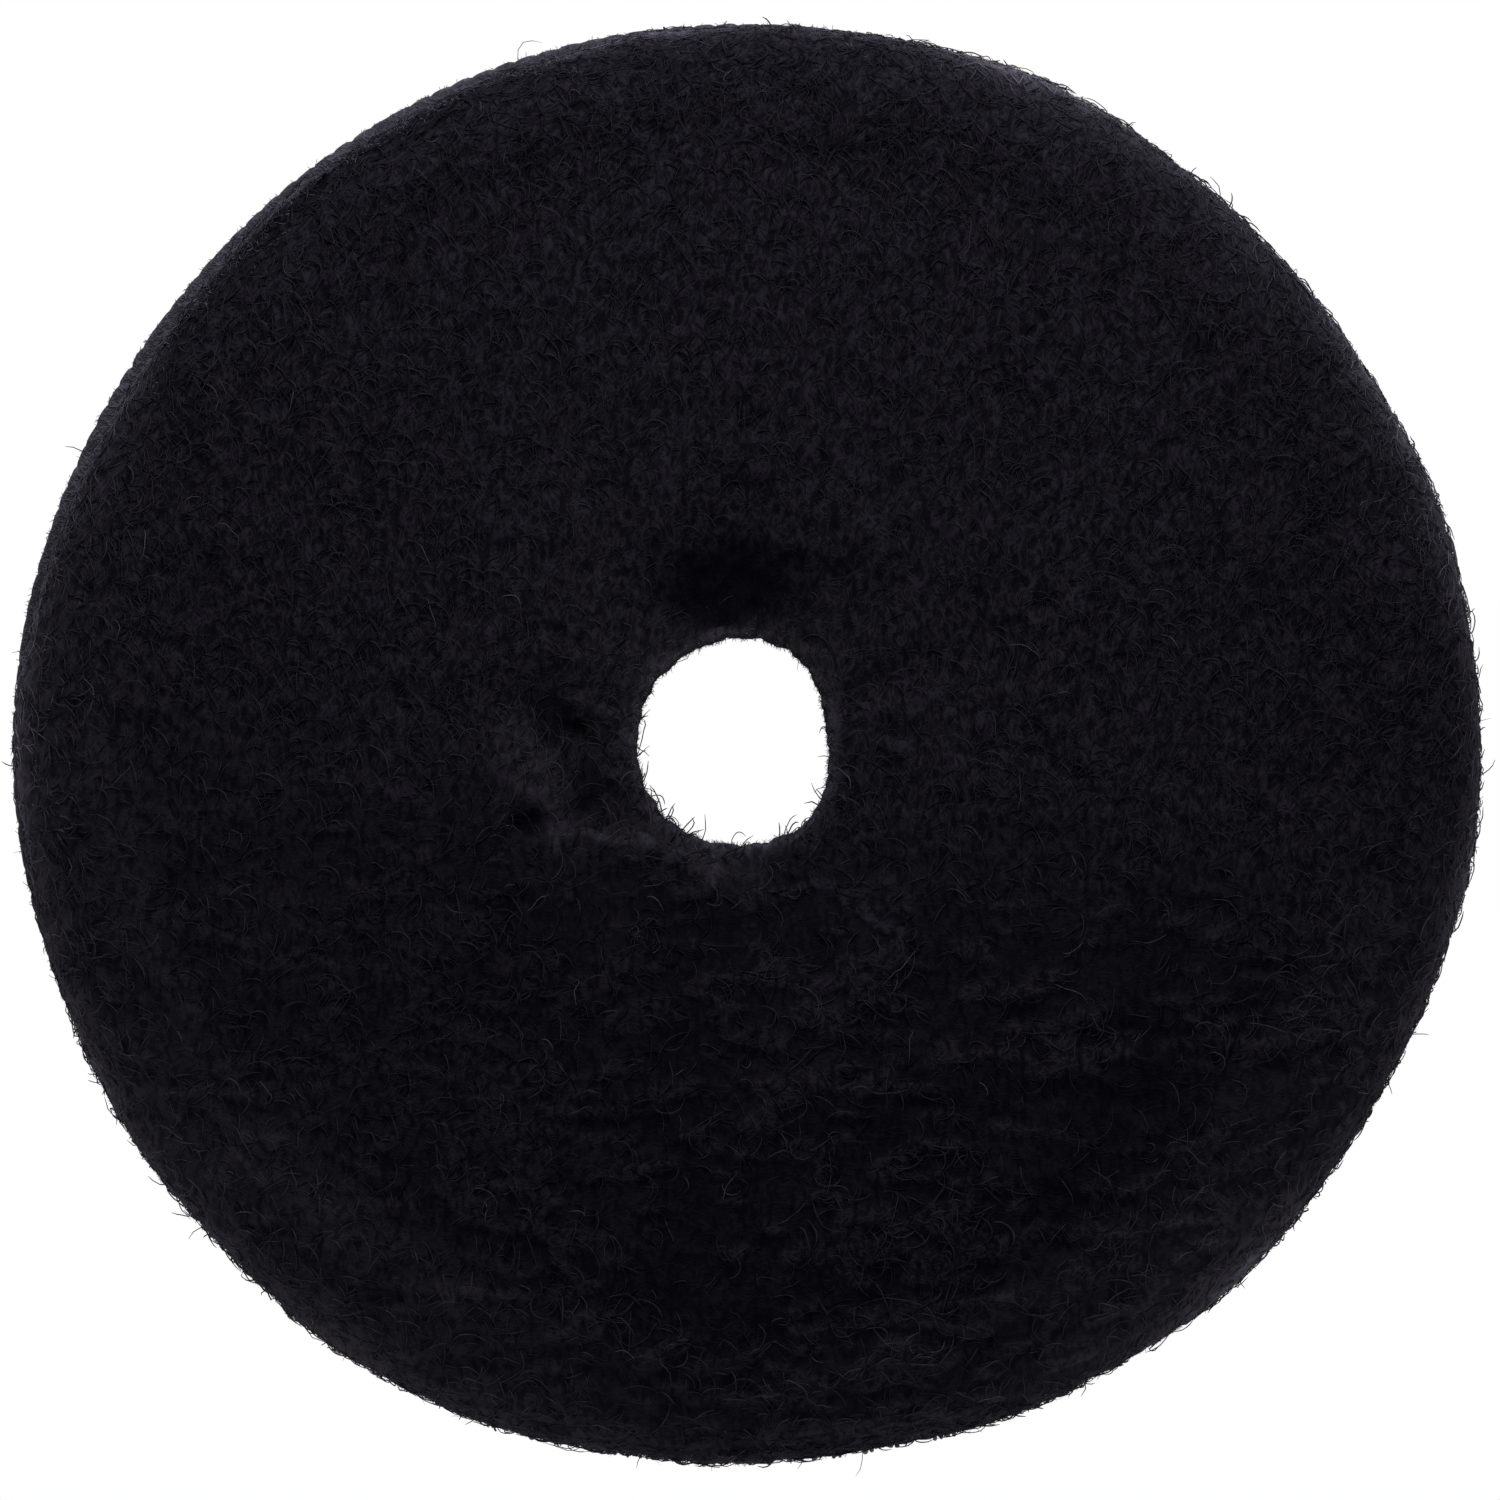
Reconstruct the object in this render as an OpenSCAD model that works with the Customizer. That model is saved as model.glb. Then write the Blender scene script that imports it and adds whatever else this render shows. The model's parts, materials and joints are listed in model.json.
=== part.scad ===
// Felt polishing wheel: a soft felt disc, laminated to a loop-faced backing.
// It lies with its loops on the XY plane and its polishing face towards +Z.
// The hole's axis is the Z axis, and the origin is at the back face.

/* [Wheel] */
// Outside diameter of the backing cloth, which is the widest layer
wheel_d = 76; // [60:1:130]
// Diameter of the hole through every layer
bore_d = 10.4; // [6:0.1:16]

/* [Felt pad] */
// How far the felt's widest ring stays inside the cloth's edge
felt_inset = 0.4; // [0.1:0.1:1.5]
// Height of the felt's side, from the bond film to where the crown starts
felt_h = 10; // [8:0.1:20]
// Extra height of the crown, halfway between the dimple and the shoulder
crown_h = 0.6; // [0.1:0.1:2]
// Width of the rounded shoulder, measured inwards from the side
shoulder_w = 3.5; // [2:0.1:8]
// Height of the rounded shoulder, which the side wall limits
shoulder_h = 5; // [2:0.1:12]
// Height of the tuck at the foot, where the felt draws in to the bond
foot_h = 1.2; // [0.2:0.1:2]
// How far the foot draws in under the widest ring
foot_tuck = 0.5; // [0.1:0.1:1.5]
// Width of the dimple round the hole, measured outwards from the hole
dimple_w = 7; // [2:0.1:9]
// Depth of the dimple at the hole's edge
dimple_depth = 1.6; // [0.2:0.1:4]

/* [Backing] */
// Thickness of the adhesive film between felt and cloth
film_t = 0.35; // [0.1:0.05:0.8]
// How far the film stops short of the cloth's edge
film_inset = 0.25; // [0.05:0.05:1]
// Thickness of the knitted ground cloth
cloth_t = 0.7; // [0.3:0.1:1.5]
// Height of the loops that stand out of the cloth's back
pile_h = 1.35; // [0.5:0.05:3]
// How far the outermost loops stand inside the cloth's edge
pile_inset = 0.3; // [0.1:0.1:1.5]

/* [Hidden] */

// Sides of a full turn, and steps along each curved stretch of the felt's outline
TURN = 96;
STEPS = 14;
// How far a cutter runs past the faces that it cuts
OVERRUN = 1;

wheel_r = wheel_d / 2;
bore_r = bore_d / 2;
felt_r = wheel_r - felt_inset;

// Levels of the layers, from the back face up
cloth_z = pile_h;
film_z = cloth_z + cloth_t;
felt_z = film_z + film_t;
crown_z = felt_z + felt_h;

// The shoulder's arc starts above the foot, so the side wall limits its height
shoulder_rise = min(shoulder_h, felt_h - foot_h);
shoulder_z = crown_z - shoulder_rise;
// The flat stretch of the face, between the dimple and the shoulder
face_in = bore_r + dimple_w;
face_out = felt_r - shoulder_w;

// Height of a smooth step from 0 to 1 as t goes from 0 to 1
function ease(t) = (1 - cos(180 * t)) / 2;

// The foot: a quarter wave, out from the bond to the widest ring
function foot_line() =
    [for (i = [0:STEPS / 2])
        let (t = 2 * i / STEPS)
        [felt_r - foot_tuck * (1 - sin(90 * t)), felt_z + foot_h * t]];

// The shoulder: a quarter ellipse, from the side wall up to the face
function shoulder_line() =
    [for (i = [0:STEPS])
        let (a = 90 * i / STEPS)
        [face_out + shoulder_w * cos(a), shoulder_z + shoulder_rise * sin(a)]];

// The crown: a half wave that lifts the middle of the face
function crown_line() =
    [for (i = [1:STEPS - 1])
        let (t = i / STEPS)
        [face_out + (face_in - face_out) * t, crown_z + crown_h * sin(180 * t)]];

// The dimple: a smooth step down to the hole's edge
function dimple_line() =
    [for (i = [0:STEPS])
        let (t = i / STEPS)
        [face_in - dimple_w * t, crown_z - dimple_depth * ease(t)]];

// Drills the wheel's hole through a layer that spans bottom_z to top_z
module bored(bottom_z, top_z) {
    difference() {
        children();
        translate([0, 0, bottom_z - OVERRUN])
            cylinder(h = top_z - bottom_z + 2 * OVERRUN, r = bore_r, $fn = TURN);
    }
}

// A flat round layer with the wheel's hole through it
module layer(r, bottom_z, thickness) {
    bored(bottom_z, bottom_z + thickness)
        translate([0, 0, bottom_z])
            cylinder(h = thickness, r = r, $fn = TURN);
}

module felt_pad() {
    outline = concat(
        [[0, felt_z]],
        foot_line(),
        shoulder_line(),
        crown_line(),
        dimple_line(),
        [[0, crown_z - dimple_depth]]
    );
    color([0.10, 0.10, 0.13])
        bored(felt_z, crown_z + crown_h)
            rotate_extrude($fn = TURN)
                polygon(outline);
}

module bond_film() {
    color([0.05, 0.05, 0.06])
        layer(wheel_r - film_inset, film_z, film_t);
}

module backing_cloth() {
    color([0.22, 0.22, 0.27])
        layer(wheel_r, cloth_z, cloth_t);
}

module loop_pile() {
    color([0.15, 0.15, 0.18])
        layer(wheel_r - pile_inset, 0, pile_h);
}

felt_pad();
bond_film();
backing_cloth();
loop_pile();
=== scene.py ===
# %% [markdown]
# # A felt polishing wheel
# This lesson builds the looks of a small lapidary polishing wheel: a disc of black
# needle-punched felt, about 76 mm across, glued to a knitted cloth whose back is covered
# with loops. The loops grip the hooks of a machine's backing plate.
#
# The wheel is nearly black, so flat colour would show nothing. What the eye reads on real
# felt is shape: thousands of curly fibres, the hollows between them, and the soft fuzz at
# the edge. So most of this lesson makes real geometry, and the materials stay simple.

# %% Load the frame
import json
import math

import bpy
import numpy as np
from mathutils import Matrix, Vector, noise

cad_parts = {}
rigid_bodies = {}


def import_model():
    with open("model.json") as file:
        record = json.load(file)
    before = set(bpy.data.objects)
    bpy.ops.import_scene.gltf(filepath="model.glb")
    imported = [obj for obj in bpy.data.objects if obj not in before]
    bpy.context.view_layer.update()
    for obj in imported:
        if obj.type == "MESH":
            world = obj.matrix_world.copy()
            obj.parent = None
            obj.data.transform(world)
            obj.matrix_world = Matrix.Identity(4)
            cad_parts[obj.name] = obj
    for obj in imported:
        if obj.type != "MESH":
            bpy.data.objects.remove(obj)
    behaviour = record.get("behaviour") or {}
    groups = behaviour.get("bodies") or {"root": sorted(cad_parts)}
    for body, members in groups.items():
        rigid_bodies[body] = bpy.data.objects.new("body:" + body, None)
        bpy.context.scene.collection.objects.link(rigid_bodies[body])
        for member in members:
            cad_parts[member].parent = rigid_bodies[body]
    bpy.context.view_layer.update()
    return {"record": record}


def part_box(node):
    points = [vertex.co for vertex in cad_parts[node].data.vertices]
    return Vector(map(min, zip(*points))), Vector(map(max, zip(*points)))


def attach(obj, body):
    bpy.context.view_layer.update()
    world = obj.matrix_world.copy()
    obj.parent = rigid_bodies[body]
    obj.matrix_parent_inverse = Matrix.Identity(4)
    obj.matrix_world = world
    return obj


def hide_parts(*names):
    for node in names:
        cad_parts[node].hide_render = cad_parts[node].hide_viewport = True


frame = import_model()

MM = 0.001
scene = bpy.context.scene

# %% [markdown]
# ## Sizes
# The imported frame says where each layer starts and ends, so the levels and radii come from
# it. Only what the frame can't say, such as the width of the shoulder, is a value here.

# %% Sizes taken from the frame
felt_low, felt_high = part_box("felt_pad")
film_low, film_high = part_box("bond_film")
cloth_low, cloth_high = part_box("backing_cloth")
loop_low, loop_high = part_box("loop_pile")

FELT_R = felt_high.x
FILM_R = film_high.x
CLOTH_R = cloth_high.x
LOOP_R = loop_high.x
bore = next(m for m in frame["record"]["mounts"] if m["name"] == "centre_hole")
HOLE_R = bore["dims"]["r_mm"] * MM

SHOULDER_W = 3.5 * MM
SHOULDER_H = 5.0 * MM
CROWN_H = 0.6 * MM
FOOT_H = 1.2 * MM
FOOT_TUCK = 0.5 * MM
DIMPLE_W = 7.0 * MM
DIMPLE_DEPTH = 1.6 * MM
FACE_Z = felt_high.z - CROWN_H
print("felt radius and hole radius, mm:", round(FELT_R / MM, 2), HOLE_R / MM)

# %% [markdown]
# ## Small helpers
# `wave_noise` samples Blender's own gradient noise at many points. It is fixed by its seed,
# so each run gives the same lumps. `smooth_step` is the usual soft ramp from 0 to 1.

# %% Helpers for shapes
def smooth_step(low, high, x):
    t = np.clip((x - low) / (high - low), 0, 1)
    return t * t * (3 - 2 * t)


def wave_noise(points, wavelength, seed):
    """Gradient noise from about -1 to 1, with lumps of about one wavelength."""
    shift = Vector((seed * 17.3, seed * 5.1, seed * 9.7))
    return np.array([noise.noise(Vector(p) / wavelength + shift) for p in points])


def add_object(name, mesh):
    piece = bpy.data.objects.new(name, mesh)
    scene.collection.objects.link(piece)
    return piece


def vectors_of(mesh, field):
    flat = np.empty(len(mesh.vertices) * 3, np.float32)
    mesh.vertices.foreach_get(field, flat)
    return flat.reshape(-1, 3).astype(float)


def positions(mesh):
    return vectors_of(mesh, "co")


def normals_of(mesh):
    return vectors_of(mesh, "normal")


def set_positions(mesh, points):
    mesh.vertices.foreach_set("co", np.asarray(points, np.float32).ravel())
    mesh.update()


def polar(points):
    """How far each point is from the hole's axis, and at which angle round it."""
    return np.hypot(points[:, 0], points[:, 1]), np.arctan2(points[:, 1], points[:, 0])


def triangle_count(mesh):
    return sum(len(p.vertices) - 2 for p in mesh.polygons)


# %% [markdown]
# ## How the soft layers are pulled out of true
# A wheel like this is punched from a laminated sheet, and it never comes out as a perfect
# ring. The outline is a quarter of a millimetre out of round, the hole sits slightly off
# the middle, and the hole is stretched along one direction.
#
# Every layer was cut by the same punch, so one function moves the points of all of them.
# Each lobe is a wave round the rim: how many times it repeats, how high it is, and the
# angle where it peaks.

# %% Pull the layers as the punch left them
RIM_LOBES = ((2, 0.25 * MM, -5), (3, 0.10 * MM, -32), (4, 0.11 * MM, -3), (6, 0.09 * MM, 1))
HOLE_LOBES = ((2, 0.22 * MM, 90), (3, 0.14 * MM, -49), (4, 0.08 * MM, -36))
RIM_SHIFT = (0.22 * MM, -0.02 * MM)
HOLE_SHIFT = (-0.22 * MM, 0.02 * MM)
HOLE_REACH = 12 * MM


def lobe_sum(lobes, angle):
    return sum(size * np.cos(count * (angle - math.radians(peak))) for count, size, peak in lobes)


def pulled(points):
    """The points of a true ring, moved to where the punched and handled wheel has them."""
    moved = np.array(points, float)
    radius, angle = polar(moved)
    at_hole = 1 - smooth_step(HOLE_R, HOLE_R + HOLE_REACH, radius)
    at_rim = smooth_step(HOLE_R + HOLE_REACH, CLOTH_R, radius)
    outward = at_hole * lobe_sum(HOLE_LOBES, angle) + at_rim * lobe_sum(RIM_LOBES, angle)
    moved[:, 0] += outward * np.cos(angle) + at_hole * HOLE_SHIFT[0] + at_rim * RIM_SHIFT[0]
    moved[:, 1] += outward * np.sin(angle) + at_hole * HOLE_SHIFT[1] + at_rim * RIM_SHIFT[1]
    return moved


# %% [markdown]
# ## Turning an outline into a ring
# Every layer starts as a closed outline turned about the hole's axis. The outline runs
# anticlockwise as seen with the radius to the right, which makes every face point outwards,
# and the ring closes on itself, so it has no seam and no pole.

# %% Turn a closed outline round the axis
def turned_ring(name, outline, segments):
    """A closed ring of quads from a closed outline of (radius, height) points."""
    outline = np.asarray(outline, float)
    angle = np.arange(segments) * 2 * math.pi / segments
    x = np.outer(np.cos(angle), outline[:, 0])
    y = np.outer(np.sin(angle), outline[:, 0])
    z = np.tile(outline[:, 1], (segments, 1))
    count = len(outline)
    step, along = np.meshgrid(np.arange(segments), np.arange(count), indexing="ij")
    step_on, along_on = (step + 1) % segments, (along + 1) % count
    corners = [step * count + along, step_on * count + along,
               step_on * count + along_on, step * count + along_on]
    faces = np.stack(corners, axis=-1).reshape(-1, 4)
    mesh = bpy.data.meshes.new(name)
    mesh.from_pydata(np.stack([x, y, z], axis=-1).reshape(-1, 3).tolist(), [], faces.tolist())
    mesh.shade_smooth()
    return mesh


def even_steps(first, last, count):
    """Numbers from first up to, but without, last."""
    return [first + (last - first) * i / count for i in range(count)]


# %% [markdown]
# ## The felt body: its outline
# From the bond up: a foot that draws in to the glue, a short side wall, a wide rounded
# shoulder, a face that is crowned by half a millimetre, and a dimple that falls to the
# hole, because the punch and the stitching needles pull the felt down there.

# %% The felt's outline
STEPS_UNDER, STEPS_FOOT, STEPS_SIDE, STEPS_SHOULDER = 6, 2, 4, 8
STEPS_CROWN, STEPS_DIMPLE, STEPS_WALL = 22, 8, 5


def felt_outline():
    foot_r, face_out, face_in = FELT_R - FOOT_TUCK, FELT_R - SHOULDER_W, HOLE_R + DIMPLE_W
    side_z, shoulder_z = felt_low.z + FOOT_H, FACE_Z - SHOULDER_H
    lip_z = FACE_Z - DIMPLE_DEPTH
    under = [(r, felt_low.z) for r in even_steps(HOLE_R, foot_r, STEPS_UNDER)]
    foot = [(foot_r + FOOT_TUCK * math.sin(math.pi / 2 * t), felt_low.z + FOOT_H * t)
            for t in even_steps(0, 1, STEPS_FOOT)]
    side = [(FELT_R, z) for z in even_steps(side_z, shoulder_z, STEPS_SIDE)]
    shoulder = [(face_out + SHOULDER_W * math.cos(a), shoulder_z + SHOULDER_H * math.sin(a))
                for a in even_steps(0, math.pi / 2, STEPS_SHOULDER)]
    crown = [(face_out + (face_in - face_out) * t, FACE_Z + CROWN_H * math.sin(math.pi * t))
             for t in even_steps(0, 1, STEPS_CROWN)]
    dimple = [(face_in - DIMPLE_W * t, FACE_Z - DIMPLE_DEPTH * (1 - math.cos(math.pi * t)) / 2)
              for t in even_steps(0, 1, STEPS_DIMPLE)]
    wall = [(HOLE_R, z) for z in even_steps(lip_z, felt_low.z, STEPS_WALL)]
    return under + foot + side + shoulder + crown + dimple + wall


FELT_SEGMENTS = 156
felt_mesh = turned_ring("felt_body", felt_outline(), FELT_SEGMENTS)
felt = add_object("felt_body", felt_mesh)
print("coarse felt body:", len(felt_mesh.polygons), "faces")

# %% [markdown]
# ## The felt body: let it swell
# Felt is springy. It is held flat where it is glued and tight where it is punched, and it
# swells everywhere between. Blender's cloth simulation finds that shape: the glued
# underside and the hole's wall are pinned, and a little pressure inflates the rest.
#
# Cloth settings are tuned for things the size of clothes. A wheel this small would hardly
# move, so the copy that is simulated is ten times as large, and its movement is scaled
# back. The movement is capped too, so that the felt never leaves its place.

# %% Swell the felt with a short cloth simulation
SIM_SCALE = 10
SIM_FRAMES = 20
SIM_PRESSURE = 4.0
SWELL_CAP = 0.7 * MM


def swollen(piece):
    """The piece's points after a short inflation, with its glued and punched points held."""
    rest = positions(piece.data)
    copy = add_object("swelling_copy", piece.data.copy())
    set_positions(copy.data, rest * SIM_SCALE)
    held = (rest[:, 2] < felt_low.z + 0.1 * MM) | (polar(rest)[0] < HOLE_R + 0.3 * MM)
    group = copy.vertex_groups.new(name="held")
    group.add(np.flatnonzero(held).tolist(), 1.0, "REPLACE")
    cloth = copy.modifiers.new("swell", "CLOTH")
    cloth.settings.quality = 6
    cloth.settings.mass = 0.15
    cloth.settings.tension_stiffness = 12
    cloth.settings.compression_stiffness = 12
    cloth.settings.bending_stiffness = 4
    cloth.settings.vertex_group_mass = "held"
    cloth.settings.use_pressure = True
    cloth.settings.uniform_pressure_force = SIM_PRESSURE
    cloth.settings.effector_weights.gravity = 0
    cloth.point_cache.frame_start = 1
    cloth.point_cache.frame_end = SIM_FRAMES
    for step in range(1, SIM_FRAMES + 1):
        scene.frame_set(step)
    graph = bpy.context.evaluated_depsgraph_get()
    after = positions(copy.evaluated_get(graph).data) / SIM_SCALE
    scene.frame_set(1)
    bpy.data.objects.remove(copy)
    move = after - rest
    length = np.linalg.norm(move, axis=1, keepdims=True)
    return rest + move * np.minimum(1, SWELL_CAP / np.maximum(length, 1e-9)), float(length.max())


points, most = swollen(felt)
set_positions(felt_mesh, points)
print("the felt swelled by at most", round(most / MM, 2), "mm before the cap")

# %% [markdown]
# ## The felt body: shape it
# Two rounds of Subdivision Surface give enough points to model. Then the felt gets what
# wear and handling gave it, as a sculptor would: a deep hollow on one side of the hole, a
# groove and a raised lobe on another, a lip, and some long creases on the lower half of
# the face. Each is a short stroke or a spot with a width and a depth, placed in
# millimetres from the hole. The shades after them say where so little light gets in that
# the felt looks darker than its shape alone would make it.

# %% Add points to the felt body
def apply_modifiers(piece):
    """Replaces the piece's mesh by its evaluated one, and drops the modifiers."""
    graph = bpy.context.evaluated_depsgraph_get()
    mesh = bpy.data.meshes.new_from_object(piece.evaluated_get(graph),
                                           preserve_all_data_layers=True, depsgraph=graph)
    piece.modifiers.clear()
    old, mesh.name = piece.data, piece.data.name
    piece.data = mesh
    bpy.data.meshes.remove(old)
    return mesh


subdivision = felt.modifiers.new("finer", "SUBSURF")
subdivision.levels = subdivision.render_levels = 2
felt_mesh = apply_modifiers(felt)
print("fine felt body:", triangle_count(felt_mesh), "triangles")

# %% Strokes, spots and shades
# x, y of the start and of the end, width and height, all in millimetres
STROKES = (
    (-9.6, 2.4, -8.4, 0.6, 1.0, -0.40),
    (-8.4, 0.6, -7.4, -3.4, 0.9, -0.40),
    (-11.4, 0.2, -9.4, -2.8, 1.2, 0.40),
    (-8.9, -4.9, -4.7, -5.3, 0.8, 0.50),
    (-4.7, -5.3, -1.2, -6.6, 0.8, 0.50),
    (-1.2, -6.6, 1.2, -6.6, 0.8, 0.30),
    (13.0, -14.2, 20.0, -15.0, 0.6, -0.20),
    (20.0, -15.0, 29.0, -16.8, 0.6, -0.25),
    (8.5, -18.6, 14.5, -19.3, 0.6, -0.20),
    (15.0, -18.0, 21.5, -18.4, 0.6, -0.20),
    (22.0, -8.4, 27.5, -9.6, 0.6, -0.20),
    (10.0, -22.6, 17.0, -23.6, 0.6, -0.20),
)
# x, y of the middle, half width, half length and height, all in millimetres
SPOTS = (
    (-0.4, 7.6, 3.4, 2.2, -0.40),
    (-10.6, -4.0, 0.8, 0.7, -0.35),
    (-6.3, -20.0, 2.4, 1.4, -0.30),
    (16.5, -25.5, 2.4, 1.4, -0.30),
    (29.5, 0.6, 1.6, 2.0, -0.25),
    (27.5, 9.6, 1.8, 2.2, -0.20),
    (29.5, 18.0, 1.6, 2.0, -0.25),
    (-28.0, 8.5, 1.8, 2.0, -0.20),
)
# x, y of the middle, half width and half length in millimetres, and how dark, from 0 to 1:
# painted shade for hollows that hold no light, and, in the last, a broad painted shade over
# the lower left of the face
SHADES = (
    (-0.2, 7.9, 4.2, 2.4, 0.55),
    (-0.6, 7.7, 2.2, 1.7, 0.60),
    (-9.5, 1.5, 1.0, 1.4, 0.85),
    (-7.7, -1.9, 0.7, 1.6, 0.65),
    (-6.6, -3.6, 0.9, 0.6, 0.40),
    (-10.6, -4.0, 0.8, 0.7, 0.70),
    (9.5, 0.8, 0.8, 0.6, 0.50),
    (-3.0, -8.4, 3.6, 0.8, 0.45),
    (-8.0, -12.5, 11.0, 6.0, 0.20),
)


def spot_sum(spots, x, y):
    """Soft-edged ovals, added up."""
    total = np.zeros_like(x)
    for x0, y0, half_x, half_y, size in spots:
        total += size * np.exp(-(((x - x0) / half_x) ** 2 + ((y - y0) / half_y) ** 2) ** 2)
    return total


def stroke_sum(x, y):
    """Height in millimetres that the strokes add."""
    height = np.zeros_like(x)
    for x0, y0, x1, y1, width, size in STROKES:
        run = np.array([x1 - x0, y1 - y0])
        share = np.clip(((x - x0) * run[0] + (y - y0) * run[1]) / (run @ run), 0, 1)
        away = np.hypot(x - x0 - share * run[0], y - y0 - share * run[1])
        height += size * np.exp(-(away / width) ** 2)
    return height


# %% [markdown]
# ## The felt body: lumps, thin places, painted light and painted shade
# Soft lumps of several sizes keep the surface from looking turned on a lathe. Felt also
# has thin places, where the needles left fewer fibres. On the upper half of this face they
# are small and close together. On the lower half, which has been wiped across many times,
# they are long, wide and dark, with single fibres bridging them.
#
# The felt doesn't reach the cloth's edge evenly either: it stops short on the upper left,
# where the cloth shows, and comes right out on the right. Light is painted onto the felt as a
# paler colour along its rim, on the outer face and round the hole, more in some directions
# than in others: a painted glow where the fuzz is lit from behind, and painted highlights on
# raised ridges such as the lip.
#
# What is found is kept on the felt's points. The painted shade of the hollows and `thin`
# darken the materials as painted shade, and the painted light lightens them. `wiped` turns
# the fine strands, and on the wiped lower half it darkens the body and the sunk fibres and
# lightens the loose fibres, as painted shade and painted light.

# %% Fields over the felt
# size across and height of each set of lumps, in millimetres
LUMPS = ((9.0, 0.26), (3.6, 0.16), (1.6, 0.11), (0.9, 0.09))
INSET_LOBES = ((1, 0.45 * MM, 140), (2, 0.30 * MM, 140))
INSET_REACH = 8 * MM
BOTTOM_INSET, BOTTOM_HALF = 0.30 * MM, math.radians(17)
THIN_DEPTH = 0.18
WALL_EASE = 0.18 * MM
HOLE_RAGGED, RIM_RAGGED = 0.17 * MM, 0.14 * MM


def felt_inset(points):
    """How far the felt's edge is drawn in from its true radius, which may be negative."""
    radius, angle = polar(points)
    from_bottom = np.abs(angle + math.pi / 2)
    bottom = BOTTOM_INSET * smooth_step(1.3, 0.7, from_bottom / BOTTOM_HALF)
    drawn = lobe_sum(INSET_LOBES, angle) + bottom
    return drawn * smooth_step(FELT_R - INSET_REACH, FELT_R, radius)


def push_out(points, distance):
    """Moves points away from the axis by their own distances."""
    points[:, :2] *= (1 + distance / polar(points)[0])[:, None]


def hole_share(radius):
    """From 1 at the hole to 0 a millimetre away from it."""
    return 1 - smooth_step(0, 1, (radius - HOLE_R) / MM)


def wiped_share(points):
    """From 0 on the upper half of the face to 1 where it has been wiped across."""
    x, y = points[:, 0] / MM, points[:, 1] / MM
    return smooth_step(1, -9, y + 0.15 * x) * (0.60 + 0.40 * smooth_step(-25, 5, x))


def thin_places(points):
    """From 0, where the felt is full, to 1, where few fibres are left."""
    wiped = wiped_share(points)
    small = wave_noise(points * (1.0, 0.65, 1.0), 0.75 * MM, 61)
    large = wave_noise(points * (0.45, 1.0, 1.0), 0.95 * MM, 62)
    broad = wave_noise(points * (0.5, 1.0, 1.0), 4.0 * MM, 63)
    upper = smooth_step(0.0, 0.40, 0.75 * small + 0.15 * broad) * 0.6
    lower = smooth_step(-0.13, 0.0, 0.75 * large + 0.30 * broad)
    return (1 - wiped) * upper + wiped * lower


def wavered(points):
    """The points moved about a little, so what is drawn through them has uneven sides."""
    moved = points.copy()
    for axis, seed in ((0, 11), (1, 12)):
        moved[:, axis] += 0.6 * MM * wave_noise(points, 3 * MM, seed)
    moved[:, :2] += 0.35 * MM * wave_noise(points, 0.9 * MM, 13)[:, None]
    return moved


# %% Painted light on the felt
# the angles of the tables below, and how much painted light the rim, the outer face and the
# surround of the hole get there, as a share of the strengths after them
TURNS = (0, 45, 90, 135, 180, 225, 270, 315)
RIM_SHARES = (1.9, 1.2, 0.6, -0.4, 1.9, 1.5, -0.4, 1.1)
BAND_SHARES = (-0.1, 0.0, -0.4, -0.1, 0.6, 1.8, 1.2, 2.1)
MOUTH_SHARES = (0.5, 1.7, 0.5, 2.2, 1.2, -0.1, -0.2, 0.0)
# how strong each kind is, and how far it reaches from the rim or from the hole
RIM_PALE, RIM_REACH = 0.40, 0.50 * MM
EDGE_PALE, EDGE_REACH = 0.60, 0.10 * MM
SHOULDER_PALE, SHOULDER_REACH = 0.06, 2.6 * MM
MOUTH_PALE, MOUTH_REACH = 0.035, 3.5 * MM
LIP_PALE, LIP_REACH = 0.45, 0.30 * MM
# raised strokes, such as the lip, get a painted highlight
STROKE_PALE = 0.17


def by_turn(shares, angle):
    return np.interp(np.degrees(angle) % 360, TURNS, shares, period=360)


def painted_light_share(radius, angle, height, upward, strokes):
    """How much light is painted on the felt, before the hollows' painted shade takes some away."""
    from_rim = np.clip(FELT_R - radius, 0, None)
    from_hole = np.clip(radius - HOLE_R, 0, None)
    painted_light = RIM_PALE * by_turn(RIM_SHARES, angle) * np.exp(-from_rim / RIM_REACH)
    painted_light += EDGE_PALE * np.exp(-from_rim / EDGE_REACH)
    painted_light += SHOULDER_PALE * np.exp(-from_rim / SHOULDER_REACH)
    painted_light *= 0.35 + 0.65 * smooth_step(3.5, 6.8, height / MM)
    painted_light *= 1 - 0.5 * smooth_step(0.12, 0.0, upward)
    band = 0.06 * smooth_step(34.3, 36.6, radius / MM)
    band += 0.05 * smooth_step(29.3, 33.3, radius / MM)
    painted_light += band * by_turn(BAND_SHARES, angle) + STROKE_PALE * np.clip(strokes, 0, 1)
    painted_light += MOUTH_PALE * by_turn(MOUTH_SHARES, angle) * np.exp(-from_hole / MOUTH_REACH)
    return painted_light + LIP_PALE * np.exp(-from_hole / LIP_REACH)


# %% Sculpt the felt body
def store_weight(mesh, name, values):
    weights = mesh.attributes.new(name, "FLOAT", "POINT")
    weights.data.foreach_set("value", np.asarray(values, np.float32))


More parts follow.
